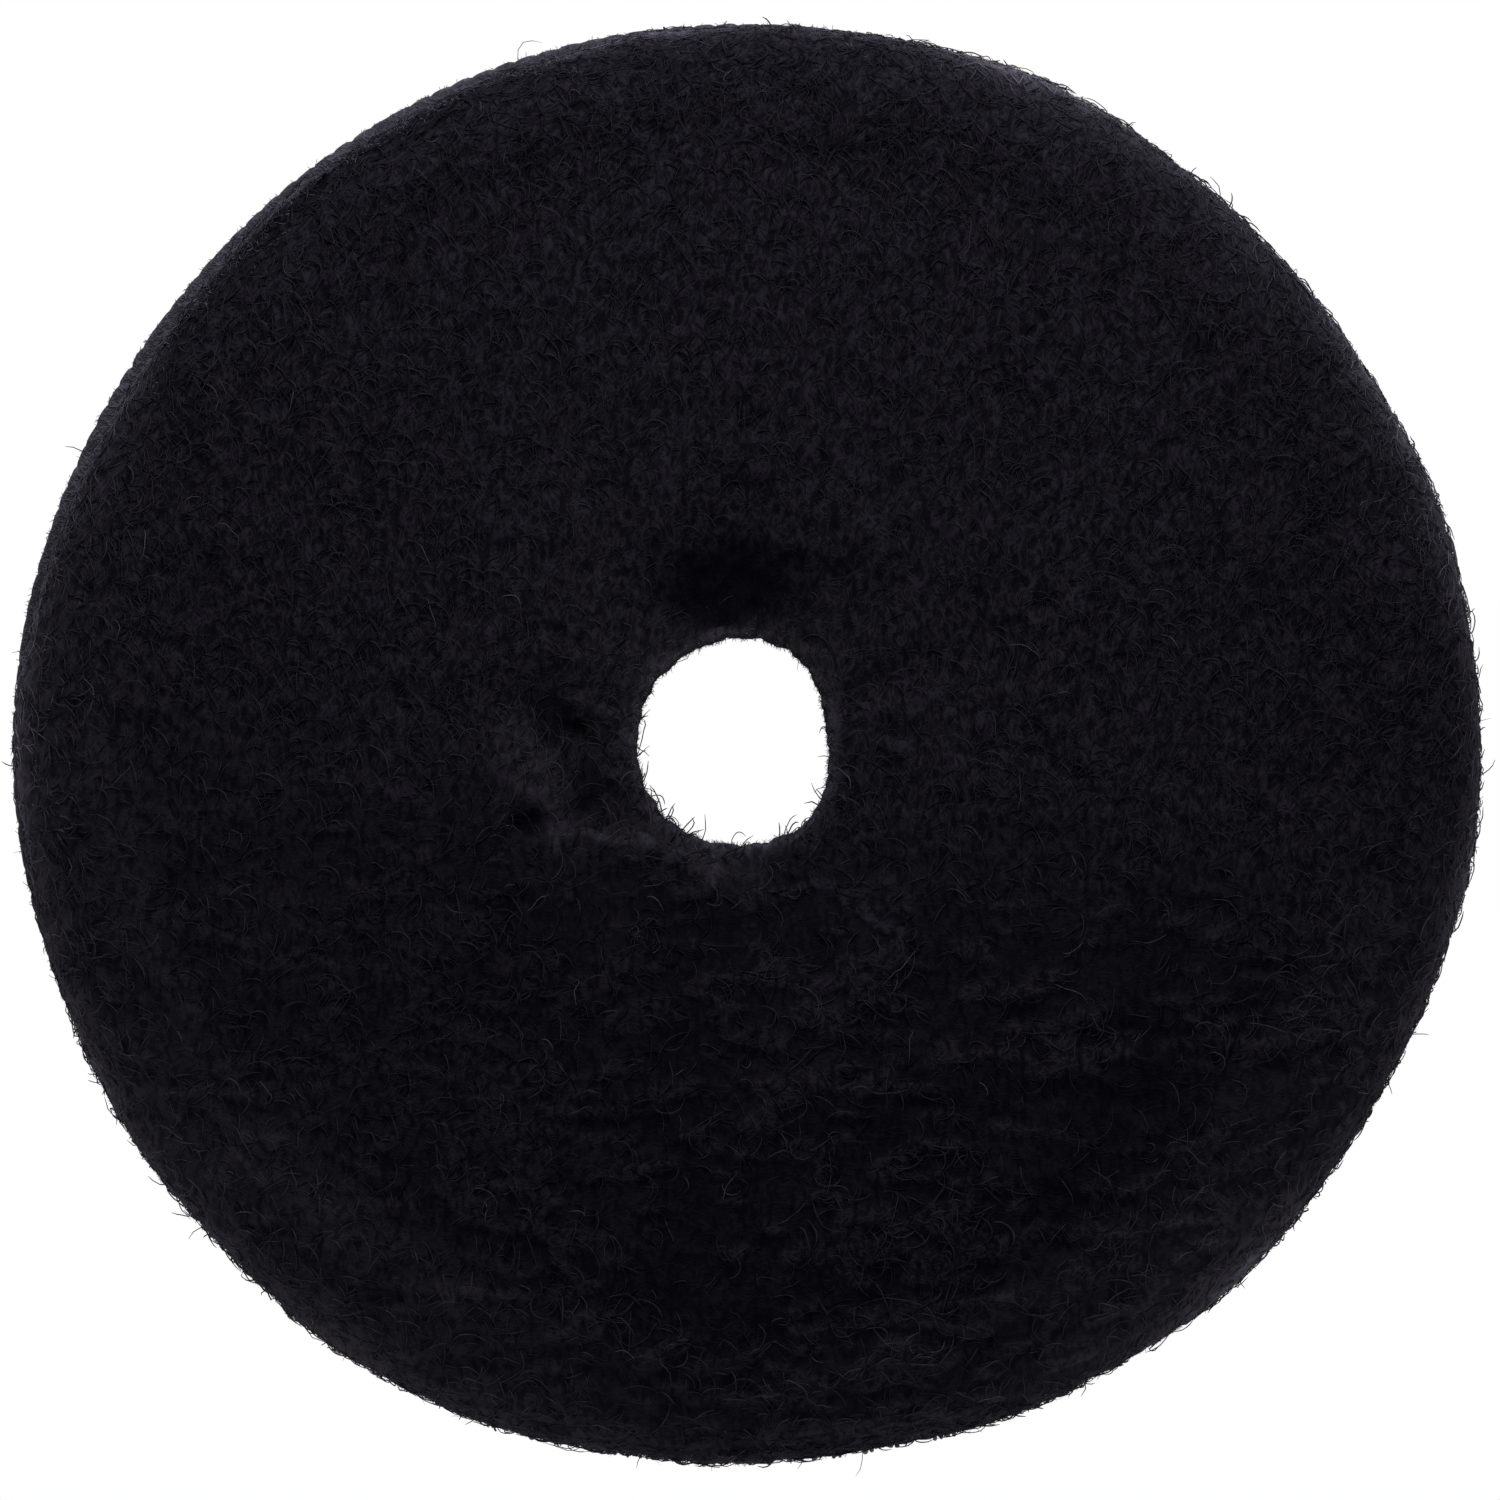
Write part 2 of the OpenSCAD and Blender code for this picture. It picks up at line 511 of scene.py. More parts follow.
def sculpt_felt(mesh):
    points, normals = positions(mesh), normals_of(mesh)
    upward = normals[:, 2]
    radius, angle = polar(points)
    free = smooth_step(felt_low.z, felt_low.z + FOOT_H, points[:, 2])
    on_top = smooth_step(0.2, 0.7, upward)
    side = 1 - smooth_step(0.1, 0.5, upward)
    x, y = wavered(points)[:, :2].T / MM
    strokes = (stroke_sum(x, y) + spot_sum(SPOTS, x, y)) * on_top
    thin = thin_places(points) * free

    height = np.zeros(len(points))
    for seed, (wavelength, size) in enumerate(LUMPS, start=1):
        height += size * wave_noise(points, wavelength * MM, seed)
    near_hole = 1 - smooth_step(HOLE_R, HOLE_R + 1.5 * MM, radius)
    height *= 1 - 0.6 * side - 0.3 * side * near_hole
    height += strokes - THIN_DEPTH * thin * on_top
    points += normals * (height * MM * free)[:, None]
    push_out(points, -felt_inset(points))

    ragged = wave_noise(points * (1, 1, 0.3), 0.8 * MM, 71)
    ragged += 0.6 * wave_noise(points * (1, 1, 0.3), 0.35 * MM, 72)
    below_lip = smooth_step(0.5, 3, (FACE_Z - DIMPLE_DEPTH - points[:, 2]) / MM)
    push_out(points, hole_share(radius) * (HOLE_RAGGED * ragged + WALL_EASE * below_lip))
    at_rim = smooth_step(FELT_R - MM, FELT_R, radius)
    push_out(points, RIM_RAGGED * at_rim * wave_noise(points, 0.6 * MM, 73))

    # Painted shade: the colour of the felt and its fibres is darkened in the SHADES ovals, less on
    # raised strokes, and in the thin places of the wiped lower half. The painted light, stored
    # next, is a painted glow and painted highlights, dimmed in that painted shade.
    shaded = np.clip(spot_sum(SHADES, x, y), 0, 1) - 0.5 * strokes
    shaded += 0.20 * thin * wiped_share(points)
    hollow_shade = np.clip(shaded, 0, 1) * on_top
    painted_light = painted_light_share(radius, angle, points[:, 2], upward, strokes)
    set_positions(mesh, pulled(points))
    store_weight(mesh, "hollow_shade", hollow_shade)
    store_weight(mesh, "painted_light", np.clip(painted_light * (1 - 0.8 * hollow_shade), 0, 1))
    store_weight(mesh, "thin", np.maximum(thin, hollow_shade))
    store_weight(mesh, "wiped", wiped_share(points) * on_top)


sculpt_felt(felt_mesh)
print("felt body box, mm:", np.round(positions(felt_mesh).min(0) / MM, 2),
      np.round(positions(felt_mesh).max(0) / MM, 2))

# %% [markdown]
# ## Where fibres grow, and how they are combed
# Fibres are scattered by weights that are kept on the felt's points. `nap` is how densely
# the sunk fibres cover the face, with far fewer in the thin places. `webs` is the same for
# the loose fibres over them, which still bridge the thin places. `fringe` is the fine down
# along the edge, and `mouth` the down in the hole. `fuzz` is where longer fibres stand off
# the edge, in patches, and `face` is where single pale strays may lie. `comb` is the
# direction the fibres have been wiped in: up and down on the upper half, across on the
# lower half, and up the slope of the rounded edge.

# %% Weights for the fibres
# in millimetres: the edge, the hole's wall and mouth, and the open part of the face
EDGE_W, WALL_W, MOUTH_W, MOUTH_DEPTH = 3.2, 1.2, 0.9, 1.6
OPEN_FROM, OPEN_TO = 8, 34
# the radii between which the combing turns from the face's way to the slope's
COMB_TURNS = (29, 35)
SHAGGIEST = math.radians(30)
COMBED_UP, COMBED_ACROSS = (0.2, 1.0, 0.0), (1.0, -0.12, 0.0)


def read_weight(mesh, name):
    values = np.empty(len(mesh.vertices), np.float32)
    mesh.attributes[name].data.foreach_get("value", values)
    return values.astype(float)


def comb_ways(normals, radius, angle, wiped):
    """The direction the fibres lie in at each point; the longer, the better combed."""
    rim = smooth_step(*COMB_TURNS, radius)[:, None]
    upright = np.outer(2.2 * (1 - wiped), COMBED_UP)
    across = np.outer(0.6 * wiped, COMBED_ACROSS)
    leant = np.hypot(normals[:, 0], normals[:, 1])
    upward = np.stack([-np.cos(angle) * normals[:, 2], -np.sin(angle) * normals[:, 2], leant],
                      axis=-1)
    return (upright + across) * (1 - rim) + 1.2 * upward * rim


def weigh_felt(mesh):
    points, normals = positions(mesh), normals_of(mesh)
    thin, wiped = read_weight(mesh, "thin"), read_weight(mesh, "wiped")
    x, y, z = (points / MM).T
    radius, angle = np.hypot(x, y), np.arctan2(y, x)
    above = (z > felt_low.z / MM + 0.3) & (normals[:, 2] > -0.6)
    in_hole = (radius < HOLE_R / MM + WALL_W) & (normals[:, 2] < 0.5)
    grown_over = above * ~in_hole * (1 - 0.35 * read_weight(mesh, "hollow_shade"))
    store_weight(mesh, "nap", grown_over * (1 - (0.45 + 0.55 * wiped) * thin))
    store_weight(mesh, "webs", grown_over * (1 - 0.1 * wiped - (0.45 + 0.30 * wiped) * thin))
    edge = (radius > FELT_R / MM - EDGE_W) & above
    outermost = 0.3 + 0.7 * smooth_step(4.5, 6, z) * smooth_step(9.8, 8.5, z)
    store_weight(mesh, "fringe", edge * (normals[:, 2] < 0.5) * outermost)
    near_lip = z > (FACE_Z - DIMPLE_DEPTH) / MM - MOUTH_DEPTH
    near_hole = (radius < HOLE_R / MM + MOUTH_W) & (normals[:, 2] < 0.7)
    store_weight(mesh, "mouth", near_hole & near_lip)
    tufts = smooth_step(0.0, 0.5, wave_noise(points, 5 * MM, 31))
    shaggy = smooth_step(-0.3, 0.8, np.cos(2 * (angle - SHAGGIEST)))
    store_weight(mesh, "fuzz", edge * (0.06 + 0.94 * tufts * shaggy))
    open_face = (radius < OPEN_TO) & (radius > OPEN_FROM) & (normals[:, 2] > 0.7)
    store_weight(mesh, "face", open_face * (0.5 + wiped))
    ways = mesh.attributes.new("comb", "FLOAT_VECTOR", "POINT")
    comb = comb_ways(normals, radius, angle, wiped)
    ways.data.foreach_set("vector", comb.astype(np.float32).ravel())


weigh_felt(felt_mesh)

# %% [markdown]
# ## Writing node trees in code
# The fibres, loops and beads are all made by Geometry Nodes. A `Field` stands for one
# output of a node, and arithmetic on it adds Math nodes, so a tree reads as formulas.
# `node` adds a node of any other kind, and `plug` fills an input with a value or a field.

# %% Helpers for node trees
class Field:
    """One output of a node. Arithmetic on it adds Math nodes."""
    def __init__(self, socket):
        self.socket = socket

    def __add__(self, other):
        return math_of("ADD", self, other)

    def __sub__(self, other):
        return math_of("SUBTRACT", self, other)

    def __rsub__(self, other):
        return math_of("SUBTRACT", other, self)

    def __mul__(self, other):
        return math_of("MULTIPLY", self, other)

    def __truediv__(self, other):
        return math_of("DIVIDE", self, other)

    def __rtruediv__(self, other):
        return math_of("DIVIDE", other, self)


def live(sockets, name):
    """The socket of that name which this node's settings leave in use."""
    return next(s for s in sockets if s.name == name and s.enabled)


def plug(socket, value):
    if isinstance(value, Field):
        socket.id_data.links.new(value.socket, socket)
    elif value is not None:
        socket.default_value = value


def output(made, name=None):
    return Field(live(made.outputs, name) if name else made.outputs[0])


def node(tree, kind, settings=(), **inputs):
    """Adds a node, sets its properties, and plugs its inputs, with spaces written as _."""
    made = tree.nodes.new(kind)
    for name, value in dict(settings).items():
        setattr(made, name, value)
    for name, value in inputs.items():
        plug(live(made.inputs, name.replace("_", " ")), value)
    return made


def operate(kind, operation, *values):
    tree = next(v.socket.id_data for v in values if isinstance(v, Field))
    made = tree.nodes.new(kind)
    made.operation = operation
    for socket, value in zip(made.inputs, values):
        plug(socket, value)
    return output(made)


def math_of(operation, *values):
    return operate("ShaderNodeMath", operation, *values)


def vector_of(operation, *values):
    return operate("ShaderNodeVectorMath", operation, *values)


def scaled(vector, amount):
    """The vector times a number, which is the fourth input of a Vector Math node."""
    return vector_of("SCALE", vector, None, None, amount)


# %% Helpers for whole trees
def new_tree(name, kind, inputs, outputs):
    """A tree with named inputs and outputs, given as (name, socket type) pairs."""
    tree = bpy.data.node_groups.new(name, kind)
    for way, sockets in (("INPUT", inputs), ("OUTPUT", outputs)):
        for label, held in sockets:
            tree.interface.new_socket(label, in_out=way, socket_type="NodeSocket" + held)
    entry = tree.nodes.new("NodeGroupInput")
    return tree, {s.name: Field(s) for s in entry.outputs if s.name}


def give_out(tree, **results):
    leave = tree.nodes.new("NodeGroupOutput")
    for label, value in results.items():
        plug(leave.inputs[label], value)


def growing_tree(name, inputs):
    return new_tree(name, "GeometryNodeTree", inputs, (("Geometry", "Geometry"),))


def finish_tree(tree, geometry, material):
    """Ends a tree as every one here ends: smooth faces, real geometry, one material."""
    smooth = node(tree, "GeometryNodeSetShadeSmooth", Geometry=geometry, Shade_Smooth=True)
    real = node(tree, "GeometryNodeRealizeInstances", Geometry=output(smooth))
    painted = node(tree, "GeometryNodeSetMaterial", Geometry=output(real), Material=material)
    give_out(tree, Geometry=output(painted))


def grown(name, tree, base, values):
    """A plain mesh object that holds what the tree makes on the base mesh."""
    piece = add_object(name, base.copy())
    grow = piece.modifiers.new("grow", "NODES")
    grow.node_group = tree
    for item in tree.interface.items_tree:
        if item.in_out == "INPUT" and item.name in values:
            grow[item.identifier] = values[item.name]
    mesh = apply_modifiers(piece)
    mesh.name = name
    print(f"{name}: {triangle_count(mesh)} triangles")
    return piece


# %% Steps that several trees share
def stored(tree, label, kind="FLOAT"):
    """A weight or a direction that is kept on the points under a name."""
    return output(node(tree, "GeometryNodeInputNamedAttribute", {"data_type": kind},
                       Name=label), "Attribute")


def kept(tree, geometry, label, value, kind="FLOAT"):
    return output(node(tree, "GeometryNodeStoreNamedAttribute", {"data_type": kind},
                       Geometry=geometry, Name=label, Value=value))


def chance(tree, seed, low, high, identity=None):
    """A random number or vector between low and high, one for each identity."""
    kind = "FLOAT_VECTOR" if isinstance(low, tuple) else "FLOAT"
    return output(node(tree, "FunctionNodeRandomValue", {"data_type": kind}, Min=low, Max=high,
                       ID=identity, Seed=seed), "Value")


def lines_on(tree, points, count):
    """A line of that many points on each point, each line's number, and 0 to 1 along it."""
    line = node(tree, "GeometryNodeCurvePrimitiveLine", End=(MM, 0, 0))
    even = node(tree, "GeometryNodeResampleCurve", Curve=output(line), Count=count)
    stood = node(tree, "GeometryNodeInstanceOnPoints", Points=points, Instance=output(even))
    lines = output(node(tree, "GeometryNodeRealizeInstances", Geometry=output(stood)))
    index = output(node(tree, "GeometryNodeInputIndex"))
    each = node(tree, "GeometryNodeFieldOnDomain", {"data_type": "INT", "domain": "CURVE"},
                Value=index)
    return lines, output(each), output(node(tree, "GeometryNodeSplineParameter"), "Factor")


def finish_tubes(tree, lines, thickness, material):
    """Turns the lines into three-sided tubes with closed ends, and ends the tree."""
    ring = node(tree, "GeometryNodeCurvePrimitiveCircle", Resolution=3, Radius=1.0)
    tubes = node(tree, "GeometryNodeCurveToMesh", Curve=lines, Profile_Curve=output(ring),
                 Scale=thickness, Fill_Caps=True)
    finish_tree(tree, output(tubes), material)


# %% [markdown]
# ## One tree for every loose fibre
# A fibre is a three-sided tube with tapered ends. The tree scatters roots over the felt by
# one of the weights above, stands an unshaped line of points on each root, and then
# places every point by a formula in the root's own directions: along the surface, across
# it, and out of it.
#
# * along and across follow an arc of a random turn, which is what makes felt look curly;
# * out of the surface is a low arch, so that both ends tuck in, or a rise for fuzz;
# * a little noise makes each fibre wander.
#
# The same tree makes the nap, the down, the edge fuzz, the strays, the cut ends of the
# cloth's yarn and the brushed filaments of the back. Only its inputs differ. Each fibre
# keeps a random `tone` for its material.

# %% The fibre tree
FIBRE_SIZES = ("Per Area", "Shortest", "Longest", "Thickness", "Turn", "Arch", "Rise", "Sink",
               "Wander", "Comb", "Dullest", "Brightest")
# how finely the wandering noise changes along a fibre, per metre, and how far apart in the
# noise two fibres may start
WANDER_RATE, WANDER_SPREAD = 900.0, 50


def fibre_tree():
    tree, given = growing_tree("scattered_fibres", (
        ("Surface", "Geometry"), ("Weight", "String"),
        *((label, "Float") for label in FIBRE_SIZES),
        ("Points", "Int"), ("Seed", "Int"), ("Material", "Material")))
    density = given["Per Area"] * stored(tree, given["Weight"])
    roots = node(tree, "GeometryNodeDistributePointsOnFaces", Mesh=given["Surface"],
                 Density=density, Seed=given["Seed"])
    out = output(roots, "Normal")
    random_way = chance(tree, given["Seed"] + 1, (-1, -1, -1), (1, 1, 1))
    loose = vector_of("CROSS_PRODUCT", out, random_way)
    combed = scaled(stored(tree, "comb", "FLOAT_VECTOR"), given["Comb"])
    along = vector_of("NORMALIZE", vector_of("ADD", loose, combed))
    place = output(node(tree, "GeometryNodeInputPosition"))
    points = output(roots, "Points")
    for label, value in (("way_out", out), ("way_along", along), ("root", place)):
        points = kept(tree, points, label, value, "FLOAT_VECTOR")
    for label in ("painted_light", "wiped", "hollow_shade"):
        points = kept(tree, points, label, stored(tree, label))
    lines, each, t = lines_on(tree, points, given["Points"])

    def vary(low, high, offset):
        return chance(tree, given["Seed"] + offset, low, high, each)

    length = vary(given["Shortest"], given["Longest"], 2)
    turn = vary(given["Turn"] * -1, given["Turn"], 3)
    turned = turn * t
    reach = length / turn
    ahead = reach * math_of("SINE", turned)
    aside = reach * (1 - math_of("COSINE", turned))
    arched = given["Arch"] * vary(0.3, 1.0, 4) * math_of("SINE", t * math.pi)
    risen = given["Rise"] * vary(0.15, 1.0, 5) * t
    height = arched + risen - given["Sink"]

    way_out, way_along, spot = (
        stored(tree, label, "FLOAT_VECTOR") for label in ("way_out", "way_along", "root"))
    across = vector_of("CROSS_PRODUCT", way_out, way_along)
    for way, amount in ((way_along, ahead), (across, aside), (way_out, height)):
        spot = vector_of("ADD", spot, scaled(way, amount))
    own = vector_of("ADD", scaled(spot, WANDER_RATE), vary((0, 0, 0), (WANDER_SPREAD,) * 3, 6))
    sway = node(tree, "ShaderNodeTexNoise", Vector=own, Scale=1.0, Detail=1.0)
    sway = vector_of("SUBTRACT", output(sway, "Color"), (0.5, 0.5, 0.5))
    spot = vector_of("ADD", spot, scaled(sway, given["Wander"]))
    lines = output(node(tree, "GeometryNodeSetPosition", Geometry=lines, Position=spot))
    lines = kept(tree, lines, "tone", vary(given["Dullest"], given["Brightest"], 7))

    ends = math_of("ABSOLUTE", t * 2 - 1)
    taper = 1 - math_of("POWER", ends, 4) * 0.6
    thick = given["Thickness"] * vary(0.65, 1.2, 8) * taper
    finish_tubes(tree, lines, thick, given["Material"])
    return tree


fibres = fibre_tree()
print("fibre tree:", len(fibres.nodes), "nodes")

# %% [markdown]
# ## Finishes
# Two effects are shared by the wheel's materials, so each is one shader group. Both read
# Object coordinates, so they sit still on the wheel.
#
# `mottle` is soft patchiness, fine grain, and `pores`: dark gaps a third of a millimetre
# wide, where the light is lost between fibres. The body and the fibres over it read the
# same pores, so they darken together. `strands` draws fibres too small to model: thin
# lines that follow the contours of a stretched noise, in three directions at once.

# %% The shared mottling
def mottle_group():
    group, given = new_tree("mottle", "ShaderNodeTree", (
        ("Dark", "Color"), ("Light", "Color"), ("Tone", "Float"), ("Grain Size", "Float"),
        ("Patch Size", "Float"), ("Patchiness", "Float"), ("Pore Size", "Float"),
        ("Pores", "Float"), ("Painted Light Colour", "Color"), ("Painted Light", "Float")),
        (("Color", "Color"), ("Roughness", "Float"), ("Height", "Float")))
    place = output(node(group, "ShaderNodeTexCoord"), "Object")

    def cloud(size, detail, vector=place):
        return output(node(group, "ShaderNodeTexNoise", Vector=vector, Scale=1 / size,
                           Detail=detail), "Fac")

    grain = cloud(given["Grain Size"], 3.0)
    patch = (cloud(given["Patch Size"], 2.0) - 0.5) * given["Patchiness"]
    squashed = vector_of("MULTIPLY", place, (1.0, 0.5, 0.5))
    pore = (0.52 - cloud(given["Pore Size"], 1.0, squashed)) * 6.0
    pore = math_of("MINIMUM", math_of("MAXIMUM", pore, 0), 1)
    full = 1 - pore * given["Pores"]
    mix = (given["Tone"] * 0.75 + grain * 0.25 + patch) * full
    blend = node(group, "ShaderNodeMix", {"data_type": "RGBA"}, Factor=mix,
                 A=given["Dark"], B=given["Light"])
    # painted light: the colour is mixed towards a paler felt colour by the painted-light weight
    painted_light_mix = given["Painted Light"] * math_of("MINIMUM", mix * 1.7 + 0.35, 1)
    with_painted_light = node(group, "ShaderNodeMix", {"data_type": "RGBA"}, Factor=painted_light_mix,
                A=output(blend, "Result"), B=given["Painted Light Colour"])
    give_out(group, Color=output(with_painted_light, "Result"), Roughness=grain * 0.3 + 0.6, Height=grain)
    return group


# %% The shared strands
STRAND_WAYS = (0.0, 0.5, -0.6)


def strand_group():
    group, given = new_tree("strands", "ShaderNodeTree", (
        ("Angle", "Float"), ("Spacing", "Float"), ("Stretch", "Float"), ("Curl", "Float"),
        ("Width", "Float")), (("Strands", "Float"),))
    place = output(node(group, "ShaderNodeTexCoord"), "Object")
    spacing = given["Spacing"]
    curl = node(group, "ShaderNodeTexNoise", Vector=place, Scale=0.4 / spacing, Detail=0.0)
    curl = vector_of("SUBTRACT", output(curl, "Color"), (0.5, 0.5, 0.5))
    bent = vector_of("ADD", place, scaled(curl, given["Curl"] * spacing))
    cell = node(group, "ShaderNodeCombineXYZ", X=spacing * given["Stretch"], Y=spacing, Z=spacing)
    total = None
    for way in STRAND_WAYS:
        turn = node(group, "ShaderNodeCombineXYZ", Z=given["Angle"] + way)
        own = node(group, "ShaderNodeMapping", {"vector_type": "TEXTURE"}, Vector=bent,
                   Location=(way, way, way), Rotation=output(turn), Scale=output(cell))
        field = node(group, "ShaderNodeTexNoise", Vector=output(own), Scale=1.0, Detail=0.0)
        away = math_of("ABSOLUTE", output(field, "Fac") - 0.5)
        line = math_of("MAXIMUM", 1 - away / given["Width"], 0)
        total = line if total is None else math_of("MAXIMUM", total, line)
    give_out(group, Strands=total)
    return group


mottle, strands = mottle_group(), strand_group()


# %% Materials are built by placing the groups
PORE_SIZE = 0.36 * MM
PAINTED_LIGHT_FELT = (0.100, 0.093, 0.120)


def place_group(tree, group, values):
    placed = tree.nodes.new("ShaderNodeGroup")
    placed.node_tree = group
    for label, value in values.items():
        plug(placed.inputs[label], value)
    return {s.name: Field(s) for s in placed.outputs}


def weight_of(tree, name):
    return output(node(tree, "ShaderNodeAttribute", {"attribute_name": name}), "Fac")


def new_finish(name, dark, light, tone, grain, patch, patchiness, specular, pores=0.0,
               with_painted_light=False):
    """A material whose colour and roughness come from the mottling, with sizes in mm."""
    material = bpy.data.materials.new(name)
    material.use_nodes = True
    tree = material.node_tree
    shader = tree.nodes["Principled BSDF"]
    look = place_group(tree, mottle, {
        "Dark": (*dark, 1), "Light": (*light, 1), "Tone": tone(tree),
        "Grain Size": grain * MM, "Patch Size": patch * MM, "Patchiness": patchiness,
        "Pore Size": PORE_SIZE, "Pores": pores, "Painted Light Colour": (*PAINTED_LIGHT_FELT, 1),
        "Painted Light": weight_of(tree, "painted_light") if with_painted_light else 0.0})
    plug(shader.inputs["Base Color"], look["Color"])
    plug(shader.inputs["Roughness"], look["Roughness"])
    shader.inputs["Specular IOR Level"].default_value = specular
    return material, shader, look


def add_bump(shader, height, distance):
    relief = node(shader.id_data, "ShaderNodeBump", Height=height, Strength=1.0,
                  Distance=distance)
    plug(shader.inputs["Normal"], output(relief, "Normal"))


# %% The felt itself
STRANDS_UP, STRANDS_ACROSS = math.radians(80), -0.1


def felt_strands(tree):
    """Strands that run up and down, turning to run across where the felt has been wiped."""
    def one_way(angle):
        return place_group(tree, strands, {"Angle": angle, "Spacing": 0.36 * MM,
                                           "Stretch": 3.6, "Curl": 2.2,
                                           "Width": 0.07})["Strands"]
    wiped = weight_of(tree, "wiped")
    return one_way(STRANDS_UP) * (1 - wiped) + one_way(STRANDS_ACROSS) * wiped


def felt_tone(tree):
    # Painted shade: the body is darkened in colour in thin places, on the wiped lower half and in
    # the hollows.
    full = 1 - weight_of(tree, "thin")
    shown = full * 0.55 + 0.40 - weight_of(tree, "wiped") * 0.12
    drawn = felt_strands(tree) * shown + full * 0.15
    return drawn * (1 - weight_of(tree, "hollow_shade"))


FELT_DARK, FELT_LIGHT = (0.0022, 0.0020, 0.0031), (0.0120, 0.0109, 0.0155)
felt_finish, shader, look = new_finish(
    "black_felt", FELT_DARK, FELT_LIGHT, felt_tone, 0.5, 5, 0.3, 0.0, pores=0.8, with_painted_light=True)
add_bump(shader, felt_strands(shader.id_data), 0.025 * MM)
felt_mesh.materials.append(felt_finish)


# %% Fibres, cloth, loops and adhesive
def own_tone(tree):
    return math_of("POWER", weight_of(tree, "tone"), 1.6)


def lit_tone(tree, lift):
    """The fibre's tone with painted light and shade: moved by the lift where wiped, dark in
    hollows.
    """
    open_air = 1 - weight_of(tree, "hollow_shade") * 0.8
    return weight_of(tree, "tone") * (weight_of(tree, "wiped") * lift + 1) * open_air


# the sunk fibres get painted shade on the wiped lower half, the loose fibres painted light
def ground_tone(tree):
    return lit_tone(tree, -0.60)


def web_tone(tree):
    return lit_tone(tree, 0.75)


def knit_tone(tree):
    return place_group(tree, strands, {"Angle": 0.3, "Spacing": 0.30 * MM, "Stretch": 2.0,
                                       "Curl": 1.5, "Width": 0.08})["Strands"]


def even_tone(tree):
    return 0.5


def bead_tone(tree):
    return 0.35


FIBRE_DARK, FIBRE_LIGHT = (0.0030, 0.0027, 0.0041), (0.0230, 0.0212, 0.0290)
# The fuzz, down and cut yarn ends are far paler than the felt: a painted glow of the light that
# shines through them from behind.
FUZZ_DARK, FUZZ_LIGHT = (0.0450, 0.0420, 0.0530), (0.1300, 0.1220, 0.1520)
# the beads are painted pale as glints, on top of their own shine
BEAD_DARK, BEAD_LIGHT = (0.0500, 0.0470, 0.0560), (0.3200, 0.3100, 0.3400)
CLOTH_DARK, CLOTH_LIGHT = (0.0160, 0.0150, 0.0210), (0.0480, 0.0450, 0.0600)
LOOP_DARK, LOOP_LIGHT = (0.0090, 0.0084, 0.0120), (0.0300, 0.0280, 0.0390)
BOND_DARK, BOND_LIGHT = (0.0025, 0.0023, 0.0032), (0.0080, 0.0075, 0.0102)

# name: dark, light, tone, size of grain and of patches in mm, patchiness, specular,
# and, for what lies over the felt, how deep the pores are and whether it takes painted light
FINISHES = {
    "ground_fibre": (FIBRE_DARK, FIBRE_LIGHT, ground_tone, 1.2, 6, 0.2, 0.0, 0.45, True),
    "web_fibre": (FIBRE_DARK, FIBRE_LIGHT, web_tone, 1.2, 6, 0.3, 0.0, 0.45, True),
    "pale_fibre": (FIBRE_LIGHT, FUZZ_DARK, own_tone, 1.2, 6, 0.3, 0.15),
    "edge_down": (FUZZ_DARK, FUZZ_LIGHT, own_tone, 1.2, 6, 0.3, 0.10),
    "loop_yarn": (LOOP_DARK, LOOP_LIGHT, own_tone, 0.8, 5, 0.3, 0.20),
    "knit_cloth": (CLOTH_DARK, CLOTH_LIGHT, knit_tone, 0.35, 4, 0.4, 0.10, 0.0, True),
    "set_adhesive": (BOND_DARK, BOND_LIGHT, even_tone, 0.6, 3, 0.4, 0.20),
    "clear_bead": (BEAD_DARK, BEAD_LIGHT, bead_tone, 0.5, 1.5, 1.2, 0.50),
}
finishes = {name: new_finish(name, *values) for name, values in FINISHES.items()}
(ground_finish, web_finish, stray_finish, fuzz_finish, loop_finish, cloth_finish, film_finish,
 bead_finish) = (material for material, shader, look in finishes.values())

finishes["edge_down"][1].inputs["Alpha"].default_value = 0.5
shader = finishes["knit_cloth"][1]
add_bump(shader, knit_tone(shader.id_data), 0.08 * MM)
shader, look = finishes["set_adhesive"][1:]
add_bump(shader, look["Height"], 0.10 * MM)
shader.inputs["Coat Weight"].default_value = 0.08
print("materials:", len(bpy.data.materials))

# %% [markdown]
# ## The nap
# The face of the felt. First comes a dense layer of short fibres, half sunk in the body,
# which gives the surface its grain. Longer, curlier fibres lie over it. Each layer is laid
# in batches, each with its own seed, because one mesh of them all would be very large.

# %% Lay the nap
FIBRE_INPUTS = {"Shortest": MM, "Longest": MM, "Thickness": MM, "Arch": MM, "Rise": MM,
                "Sink": MM, "Wander": MM, "Per Area": 1e6}


def fibre_values(weight, seed, material, **values):
    """Inputs for the fibre tree: lengths are given in mm, and counts per square mm."""
    filled = {"Turn": 2.0, "Arch": 0.0, "Rise": 0.0, "Sink": 0.04, "Wander": 0.2,
              "Comb": 1.0, "Dullest": 0.0, "Brightest": 1.0, "Points": 4}
    filled.update({label.replace("_", " "): value for label, value in values.items()})
    filled = {label: value * FIBRE_INPUTS.get(label, 1) for label, value in filled.items()}
    return {**filled, "Weight": weight, "Seed": seed, "Material": material}


SUNK_BATCHES, LOOSE_BATCHES = 2, 3
naps = []
for batch in range(SUNK_BATCHES):
    naps.append(grown(f"felt_nap_{batch + 1}", fibres, felt_mesh, fibre_values(
        "nap", 100 + batch, ground_finish, Per_Area=1.50, Shortest=0.8, Longest=1.9,
        Thickness=0.042, Turn=1.9, Arch=0.07, Sink=0.033, Wander=0.22, Dullest=0.10,
        Brightest=0.36, Points=5)))
